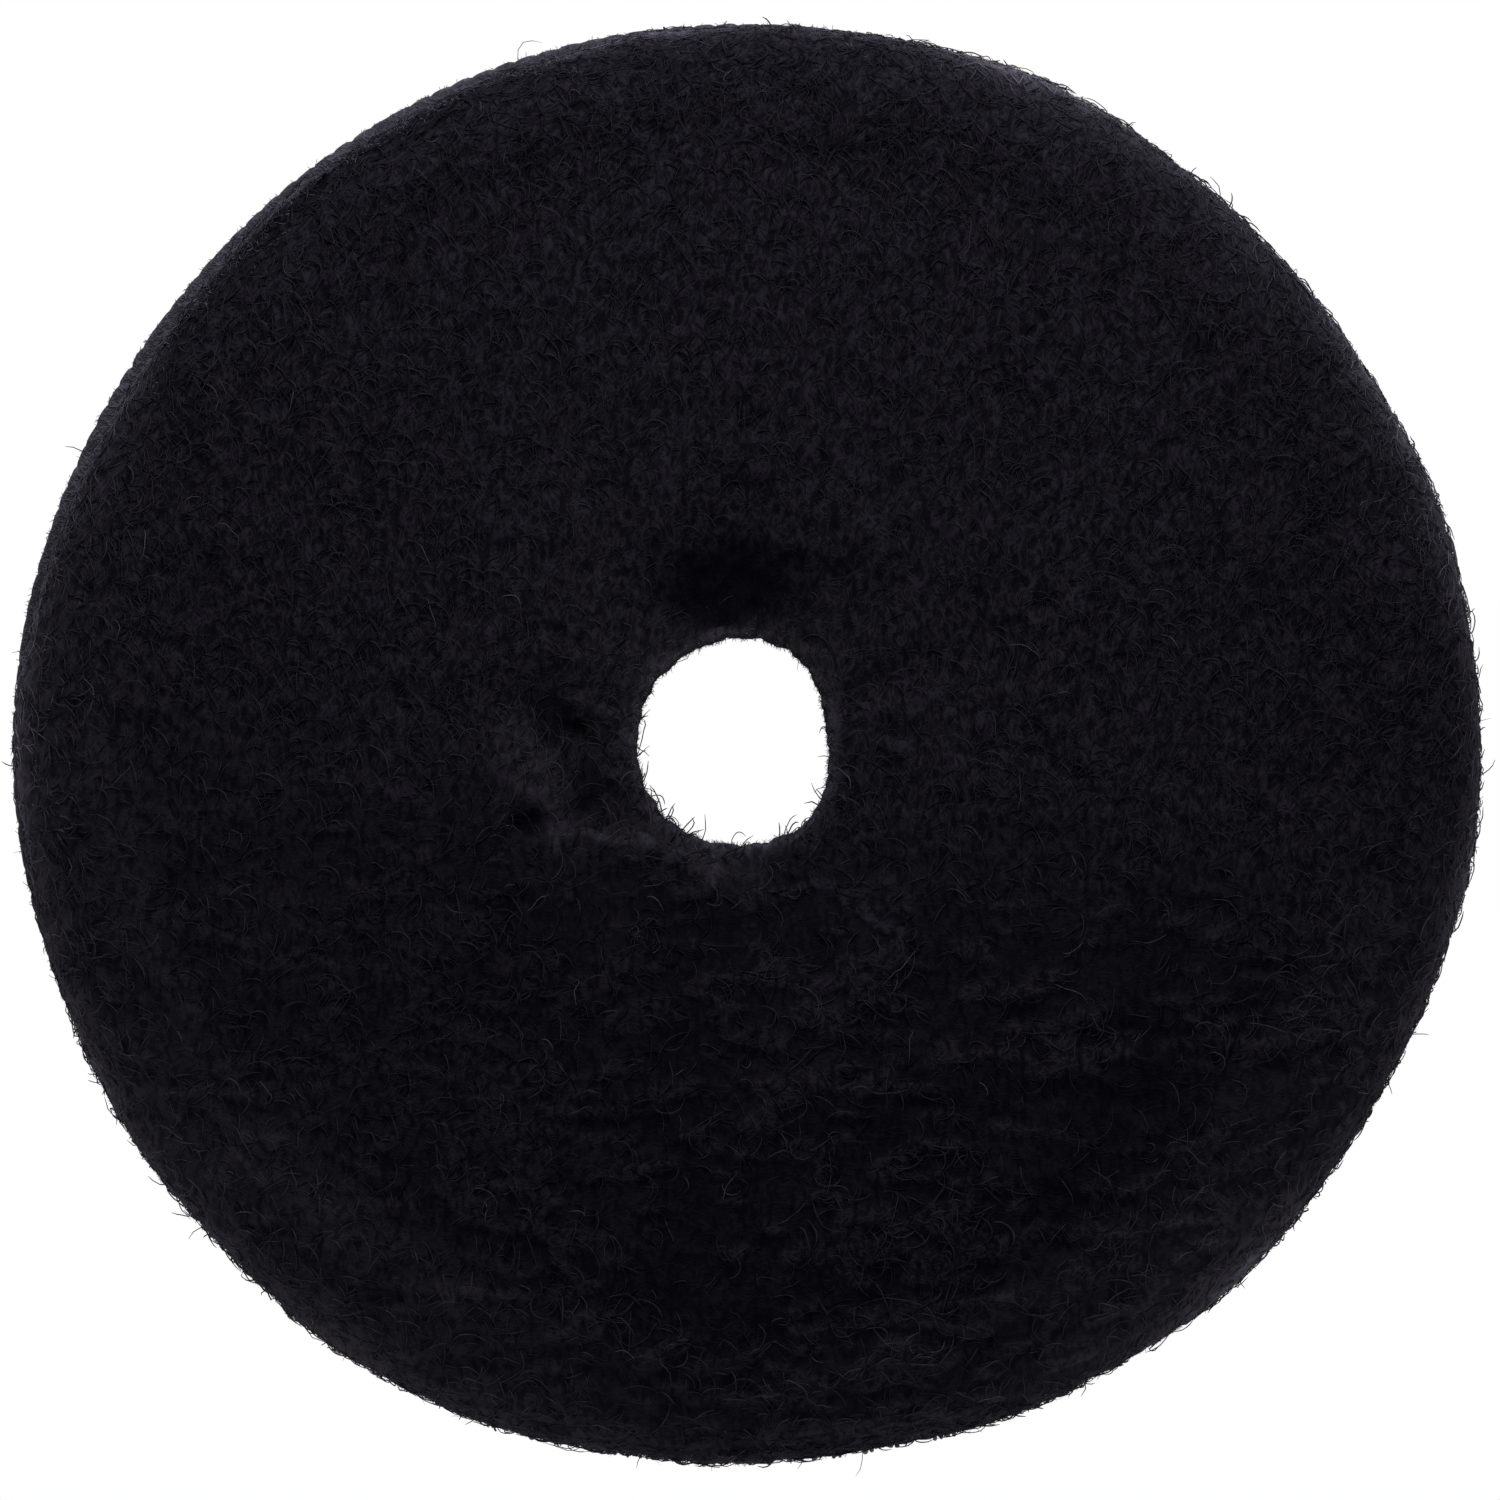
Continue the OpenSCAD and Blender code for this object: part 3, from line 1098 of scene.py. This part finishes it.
# The loose fibres get a brighter range of tones than the sunk ones: painted light on the fibres
# that lie over the rest.
for batch in range(LOOSE_BATCHES):
    naps.append(grown(f"loose_nap_{batch + 1}", fibres, felt_mesh, fibre_values(
        "webs", 120 + batch, web_finish, Per_Area=0.86, Shortest=0.8, Longest=2.4,
        Thickness=0.036, Turn=3.0, Arch=0.20, Sink=0.03, Wander=0.42, Dullest=0.20,
        Brightest=0.62, Points=7)))

# %% [markdown]
# ## Down, fuzz and strays
# The down is what makes a felt edge look soft: thousands of very fine fibres, a quarter of
# a millimetre long, that let some light through. Their pale colour is a painted glow of the
# light that shines through them from behind. Longer fuzz stands off the edge here and there.
# A few pale strays lie on the face, where the eye catches a single curl.

# %% Add the down, the fuzz and the strays
down = [grown(f"{name}_down", fibres, felt_mesh, fibre_values(
    weight, seed, fuzz_finish, Per_Area=count, Shortest=0.10, Longest=0.32, Thickness=0.024,
    Turn=1.5, Rise=0.24, Wander=0.08, Comb=0.0, Points=3))
    for name, weight, seed, count in (("edge", "fringe", 201, 12.0), ("hole", "mouth", 202, 24.0))]
fuzz = grown("edge_fuzz", fibres, felt_mesh, fibre_values(
    "fuzz", 211, fuzz_finish, Per_Area=1.4, Shortest=0.4, Longest=1.0, Thickness=0.020,
    Turn=2.4, Rise=0.40, Wander=0.25, Comb=0.0, Brightest=0.6, Points=6))
strays = grown("stray_fibres", fibres, felt_mesh, fibre_values(
    "face", 221, stray_finish, Per_Area=0.022, Shortest=0.8, Longest=2.9, Thickness=0.022,
    Turn=3.4, Arch=0.28, Wander=0.6, Points=12))

# %% [markdown]
# ## The bond film
# The glue is a thin dark film. Pressing the layers together squeezed a little of it out, so
# its edge is uneven. Along the bottom of the wheel, where the felt stops a little short, it
# also carries small beads, coloured pale as painted glints on top of their own shine.

# %% The film between felt and cloth
FILM_SEGMENTS = 720
LAYER_EASE = 0.20 * MM


def slab_outline(inner, outer, low, high, rings, edge_steps):
    """A flat ring's closed outline, with rounded edges at the rim and at the hole."""
    half = (high - low) / 2
    middle = (high + low) / 2
    under = [(r, low) for r in even_steps(inner + half, outer - half, rings)]
    rim = [(outer - half + half * math.cos(a), middle + half * math.sin(a))
           for a in even_steps(-math.pi / 2, math.pi / 2, edge_steps)]
    over = [(r, high) for r in even_steps(outer - half, inner + half, rings)]
    mouth = [(inner + half - half * math.cos(a), middle + half * math.sin(a))
             for a in even_steps(math.pi / 2, -math.pi / 2, edge_steps)]
    return under + rim + over + mouth


film_mesh = turned_ring("film", slab_outline(HOLE_R + 0.1 * MM, FILM_R, film_low.z,
                                             film_high.z, 8, 6), FILM_SEGMENTS)
points = positions(film_mesh)
radius = polar(points)[0]
near_rim = smooth_step(0.9, 1, radius / FILM_R)
squeeze = 0.12 * wave_noise(points, 2.5 * MM, 41) + 0.10 * wave_noise(points, 0.6 * MM, 44) - 0.10
push_out(points, squeeze * MM * near_rim - felt_inset(points))
points[:, 2] += 0.06 * MM * near_rim * wave_noise(points * (1, 1, 0), 0.8 * MM, 45)
push_out(points, LAYER_EASE * hole_share(radius))
set_positions(film_mesh, pulled(points))
film_mesh.materials.append(film_finish)
film = add_object("bond_layer", film_mesh)
print("bond film:", triangle_count(film_mesh), "triangles")


# %% The beads along its edge
BEAD_STEPS = 700
BEADS_OUT = 0.26 * MM


def bead_tree():
    tree, given = growing_tree("beads_on_a_line", (
        ("Line", "Geometry"), ("Size", "Float"), ("Share", "Float"), ("Seed", "Int"),
        ("Material", "Material")))
    points = node(tree, "GeometryNodeMeshToPoints", Mesh=given["Line"])
    picked = node(tree, "FunctionNodeRandomValue", {"data_type": "BOOLEAN"},
                  Probability=given["Share"], Seed=given["Seed"])
    size = chance(tree, given["Seed"] + 1, (0.45, 0.45, 0.35), (1.2, 1.2, 0.8))
    ball = node(tree, "GeometryNodeMeshUVSphere", Segments=8, Rings=5, Radius=given["Size"])
    beads = node(tree, "GeometryNodeInstanceOnPoints", Points=output(points),
                 Selection=output(picked, "Value"), Instance=output(ball, "Mesh"), Scale=size)
    finish_tree(tree, output(beads), given["Material"])
    return tree


angle = np.arange(BEAD_STEPS) * 2 * math.pi / BEAD_STEPS
line = np.stack([FILM_R * np.cos(angle), FILM_R * np.sin(angle),
                 np.full(BEAD_STEPS, (film_low.z + film_high.z) / 2)], axis=-1)
at_bottom = np.abs(angle - 1.5 * math.pi) < BOTTOM_HALF
push_out(line, 0.12 * MM * wave_noise(line, 1 * MM, 43) - felt_inset(line) + BEADS_OUT)
chosen = pulled(line)[at_bottom]
bead_line = bpy.data.meshes.new("bead_line")
bead_line.from_pydata(chosen.tolist(), [], [])
beads = grown("bond_beads", bead_tree(), bead_line,
              {"Size": 0.17 * MM, "Share": 0.6, "Seed": 5, "Material": bead_finish})

# %% [markdown]
# ## The backing cloth
# The cloth is one continuous knitted sheet. Where the punch cut it, each rib of the knit
# ends in a small tooth, about 1.2 mm from the next, so the edge is finely serrated, and
# the cut ends of the yarn stick out of it.

# %% The knitted ground cloth
KNIT_PITCH = 1.2 * MM
TOOTH = 0.08 * MM
SEGMENTS_PER_TOOTH = 5
CUT_PALE = 0.15 * MM
tooth_count = round(2 * math.pi * CLOTH_R / KNIT_PITCH)

cloth_mesh = turned_ring("cloth", slab_outline(HOLE_R, CLOTH_R, cloth_low.z, cloth_high.z,
                                               14, 6), tooth_count * SEGMENTS_PER_TOOTH)
points = positions(cloth_mesh)
radius, angle = polar(points)
ripple = np.abs(np.sin(tooth_count * angle / 2)) ** 0.4 - 0.8
frayed = 1.0 + 1.5 * wave_noise(points, 2 * MM, 51)
ragged = TOOTH * (ripple * frayed + 0.6 * wave_noise(points, 0.7 * MM, 52))
push_out(points, ragged * smooth_step(0.96, 1, radius / CLOTH_R))
push_out(points, LAYER_EASE * hole_share(radius))
set_positions(cloth_mesh, pulled(points))
# The cut edge gets painted light: paler within a fraction of a millimetre of the cut, where the
# lamp catches it.
from_edge = CLOTH_R - radius
store_weight(cloth_mesh, "painted_light", 0.5 * np.exp(-np.clip(from_edge, 0, None) / CUT_PALE))
store_weight(cloth_mesh, "cut", from_edge < 0.2 * MM)
cloth_mesh.materials.append(cloth_finish)
cloth = add_object("knit_ground", cloth_mesh)
print("cloth:", tooth_count, "teeth,", triangle_count(cloth_mesh), "triangles")

# %% Yarn ends along the cut
cut_ends = grown("cut_yarn_ends", fibres, cloth_mesh, fibre_values(
    "cut", 321, fuzz_finish, Per_Area=9.0, Shortest=0.10, Longest=0.35, Thickness=0.030,
    Turn=2.0, Rise=0.20, Wander=0.10, Comb=0.0, Points=4))

# %% [markdown]
# ## The loops
# On the back, every stitch of the knit carries a loop of yarn. They stand in straight
# rows, one row to a rib, and lean the way they were brushed. A grid of points is laid by
# Geometry Nodes, cut to the ring, and each point gets one teardrop loop.

# %% The loop tree
LOOP_SIZES = ("Row Pitch", "Stitch Pitch", "Inner", "Outer", "Level", "Height", "Half Width",
              "Lean", "Thickness")


def loop_tree():
    tree, given = growing_tree("rows_of_loops", (
        ("Ground", "Geometry"), *((label, "Float") for label in LOOP_SIZES),
        ("Points", "Int"), ("Seed", "Int"), ("Material", "Material")))
    span = given["Outer"] * 2

    def steps(pitch):
        return math_of("FLOOR", span / pitch) + 1

    grid = node(tree, "GeometryNodeMeshGrid", Size_X=span, Size_Y=span,
                Vertices_X=steps(given["Row Pitch"]), Vertices_Y=steps(given["Stitch Pitch"]))
    place = output(node(tree, "GeometryNodeInputPosition"))
    away = output(vector_of("LENGTH", place).socket.node, "Value")
    too_near = math_of("LESS_THAN", away, given["Inner"])
    too_far = math_of("GREATER_THAN", away, given["Outer"])
    ring = node(tree, "GeometryNodeDeleteGeometry", Geometry=output(grid, "Mesh"),
                Selection=math_of("MAXIMUM", too_near, too_far))
    spots = output(node(tree, "GeometryNodeMeshToPoints", Mesh=output(ring)))
    spots = kept(tree, spots, "root", place, "FLOAT_VECTOR")
    lines, each, t = lines_on(tree, spots, given["Points"])

    def vary(low, high, offset):
        return chance(tree, given["Seed"] + offset, low, high, each)

    swing = math_of("SINE", t * (2 * math.pi))
    swell = math_of("POWER", math_of("SINE", t * math.pi), 2)
    side = given["Half Width"] * vary(0.7, 1.15, 1) * swing
    lean = given["Lean"] * vary(-0.3, 1.5, 2)
    sway = given["Half Width"] * vary(-0.9, 0.9, 3)
    twist = side * vary(-0.8, 0.8, 4)
    tall = given["Height"] * vary(0.72, 1.0, 5)
    shape = output(node(tree, "ShaderNodeCombineXYZ", X=side + sway * swell,
                        Y=lean * swell + twist, Z=given["Level"] - tall * swell))
    spot = vector_of("ADD", stored(tree, "root", "FLOAT_VECTOR"), shape)
    lines = output(node(tree, "GeometryNodeSetPosition", Geometry=lines, Position=spot))
    lines = kept(tree, lines, "tone", vary(0.0, 1.0, 6))
    finish_tubes(tree, lines, given["Thickness"], given["Material"])
    return tree


# %% Stand the loops on the back
LOOP_THICKNESS = 0.075 * MM
loops = grown("yarn_loops", loop_tree(), bead_line, {
    "Row Pitch": KNIT_PITCH, "Stitch Pitch": 0.95 * MM, "Inner": HOLE_R + 0.7 * MM,
    "Outer": LOOP_R - 0.4 * MM, "Level": cloth_low.z + 0.1 * MM,
    "Height": loop_high.z - loop_low.z + 0.1 * MM - LOOP_THICKNESS,
    "Half Width": 0.42 * MM, "Lean": 0.35 * MM, "Thickness": LOOP_THICKNESS,
    "Points": 9, "Seed": 301, "Material": loop_finish})
set_positions(loops.data, pulled(positions(loops.data)))

# %% Brush some filaments out of them
points, normals = positions(cloth_mesh), normals_of(cloth_mesh)
radius = polar(points)[0]
under = (normals[:, 2] < -0.8) & (radius > HOLE_R + 0.8 * MM) & (radius < LOOP_R - 0.9 * MM)
store_weight(cloth_mesh, "brushed", under)
brushed = grown("brushed_filaments", fibres, cloth_mesh, fibre_values(
    "brushed", 311, loop_finish, Per_Area=0.75, Shortest=1.0, Longest=2.6, Thickness=0.030,
    Turn=3.0, Arch=0.95, Wander=0.3, Comb=0.0, Points=6))

# %% [markdown]
# ## The setting
# The wheel lies on a white light table, so the floor, and the hole with it, reads as plain
# white. Seen from below, the floor lets the camera through, so the loops can be looked at.

# %% Floor and surroundings
FLOOR_HALF = 3.0
ROOM_LIGHT = 0.30
WHITE = (1, 1, 1, 1)
floor_mesh = bpy.data.meshes.new("light_table")
corners = [(x * FLOOR_HALF, y * FLOOR_HALF, 0) for x, y in ((-1, -1), (1, -1), (1, 1), (-1, 1))]
floor_mesh.from_pydata(corners, [], [(0, 1, 2, 3)])
table = add_object("light_table", floor_mesh)

glow = bpy.data.materials.new("white_table")
glow.use_nodes = True
tree = glow.node_tree
tree.nodes.clear()
shine = node(tree, "ShaderNodeEmission", Color=WHITE, Strength=1.0)
clear = node(tree, "ShaderNodeBsdfTransparent")
side = node(tree, "ShaderNodeNewGeometry")
pick = tree.nodes.new("ShaderNodeMixShader")
for socket, value in zip(pick.inputs, (output(side, "Backfacing"), output(shine), output(clear))):
    plug(socket, value)
plug(tree.nodes.new("ShaderNodeOutputMaterial").inputs["Surface"], output(pick))
floor_mesh.materials.append(glow)

world = bpy.data.worlds.new("studio")
scene.world = world
world.use_nodes = True
back = world.node_tree.nodes["Background"]
seen = output(node(world.node_tree, "ShaderNodeLightPath"), "Is Camera Ray")
plug(back.inputs["Color"], WHITE)
plug(back.inputs["Strength"], seen * (1 - ROOM_LIGHT) + ROOM_LIGHT)
scene.view_settings.view_transform = "Standard"

# %% [markdown]
# ## Light
# One wide soft lamp stands beyond the wheel's far side and rather low, so it rakes across
# the face and picks out the dimple, the lip and the curls. A weak one opposite keeps the
# shaded side from closing up.

# %% The lamps
def soft_lamp(name, place, size, power):
    light = bpy.data.lights.new(name, "AREA")
    light.shape = "DISK"
    light.size = size
    light.energy = power
    lamp = bpy.data.objects.new(name, light)
    lamp.location = place
    lamp.rotation_mode = "QUATERNION"
    lamp.rotation_quaternion = (-Vector(place)).to_track_quat("-Z", "Y")
    scene.collection.objects.link(lamp)


soft_lamp("key_lamp", (0.003, 0.130, 0.110), 0.11, 0.37)
soft_lamp("fill_lamp", (0.10, -0.20, 0.35), 0.30, 0.20)

# %% [markdown]
# ## Camera
# The camera looks straight down with a long lens, and the wheel all but fills the view.

# %% The camera
CAMERA_HEIGHT = 0.45
SENSOR_WIDTH = 36
VIEW_WIDTH = 78.5 * MM
AIM = (0.56 * MM, -0.34 * MM, 4 * MM)
camera_data = bpy.data.cameras.new("camera")
camera_data.sensor_width = SENSOR_WIDTH
camera_data.lens = SENSOR_WIDTH / 2 / (VIEW_WIDTH / 2 / (CAMERA_HEIGHT - AIM[2]))
camera = bpy.data.objects.new("camera", camera_data)
camera.location = (AIM[0], AIM[1], CAMERA_HEIGHT)
scene.collection.objects.link(camera)
scene.camera = camera
print("lens, mm:", round(camera_data.lens))

# %% [markdown]
# ## Attaching the pieces
# Each piece rides on the wheel's one body, and the solids of the frame that the felt, the
# film, the cloth and the loops stand for are hidden.

# %% Attach each piece to the body
SLOTS = {"felt": [felt, *naps, *down, fuzz, strays], "adhesive": [film, beads],
         "knit_cloth": [cloth, cut_ends], "loop_yarn": [loops, brushed]}
for slot, members in SLOTS.items():
    for piece in members:
        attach(piece, "root")

STANDS_FOR = {"felt_pad": felt, "bond_film": film, "backing_cloth": cloth, "loop_pile": loops}
for solid, piece in STANDS_FOR.items():
    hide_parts(solid)
cloth_area = math.pi * (CLOTH_R ** 2 - HOLE_R ** 2)

# %% Count the triangles, and finish
shown = [piece for members in SLOTS.values() for piece in members]
print("whole wheel:", sum(triangle_count(piece.data) for piece in shown), "triangles")
